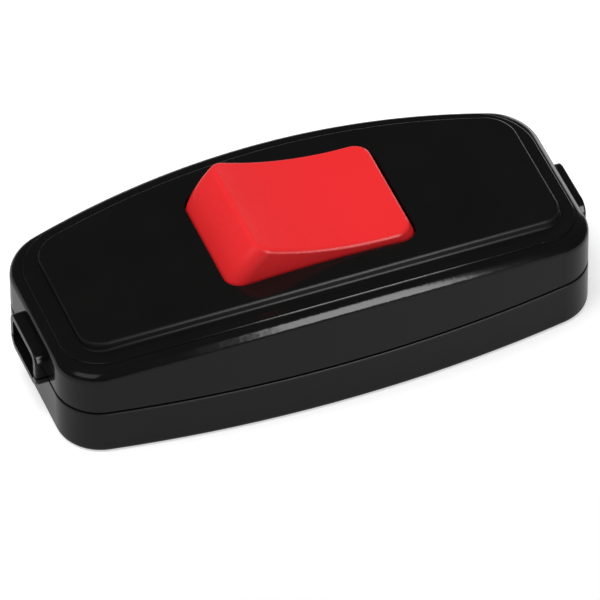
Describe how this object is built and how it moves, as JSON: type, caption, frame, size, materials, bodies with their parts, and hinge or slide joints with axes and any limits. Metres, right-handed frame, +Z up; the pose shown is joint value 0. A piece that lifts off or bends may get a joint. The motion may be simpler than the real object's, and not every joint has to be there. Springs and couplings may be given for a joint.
{
  "type": "inline cord switch",
  "caption": "Inline cord switch with a red rocker in a black barrel-shaped two-part casing, open at both ends for a flat two-core cord.",
  "frame": {"origin": "on the flat underside, in the middle of the casing", "axes": "+X along the cord, +Y across the casing to the rear, +Z up out of the rocker's side"},
  "size_m": [0.0834, 0.0364, 0.0258],
  "materials": {
    "black_plastic": "glossy moulded",
    "red_plastic": "satin gloss moulded",
    "clamp_plastic": "moulded",
    "natural_nylon": "natural nylon",
    "brass": "stamped strip",
    "contact_silver": "silver rivet",
    "plated_steel": "zinc plated",
    "screw_steel": "zinc plated",
    "spring_steel": "drawn wire"
  },
  "bodies": {
    "case": {"upper_shell": "black_plastic", "lower_shell": "black_plastic", "pivot_terminal": "brass", "fixed_terminal": "brass", "fixed_contact": "contact_silver", "neutral_connector": "brass", "line_in_wire_clamp": "plated_steel", "line_in_screw": "screw_steel", "line_out_wire_clamp": "plated_steel", "line_out_screw": "screw_steel", "neutral_in_wire_clamp": "plated_steel", "neutral_in_screw": "screw_steel", "neutral_out_wire_clamp": "plated_steel", "neutral_out_screw": "screw_steel", "cord_clamp_left": "clamp_plastic", "cord_clamp_right": "clamp_plastic", "cord_screw_left_rear": "screw_steel", "cord_screw_left_front": "screw_steel", "cord_screw_right_rear": "screw_steel", "cord_screw_right_front": "screw_steel", "case_screw_left": "screw_steel", "case_screw_right": "screw_steel"},
    "rocker": {"rocker_button": "red_plastic", "plunger_spring": "spring_steel"},
    "plunger": {"plunger": "natural_nylon"},
    "lever": {"contact_lever": "brass", "moving_contact": "contact_silver"}
  },
  "joints": [
    {"name": "rocker_tilt", "type": "hinge", "parent": "case", "child": "rocker", "pos_m": [0, -0.0003, 0.0149], "axis": [0, -1, 0], "range_deg": [0, 21.3]},
    {"name": "plunger_slide", "type": "slide", "parent": "rocker", "child": "plunger", "axis": [0.1848, 0, 0.9828], "range_m": [0, 0.001], "stiffness_N_per_m": 500, "springref_m": -0.002, "deforming": ["plunger_spring"]},
    {"name": "lever_rock", "type": "hinge", "parent": "case", "child": "lever", "pos_m": [0, -0.0003, 0.0068], "axis": [0, 1, 0], "range_deg": [0, 20]}
  ],
  "couplings": [
    {"joint": "lever_rock", "follows": "rocker_tilt", "ratio": 0.93897}
  ]
}
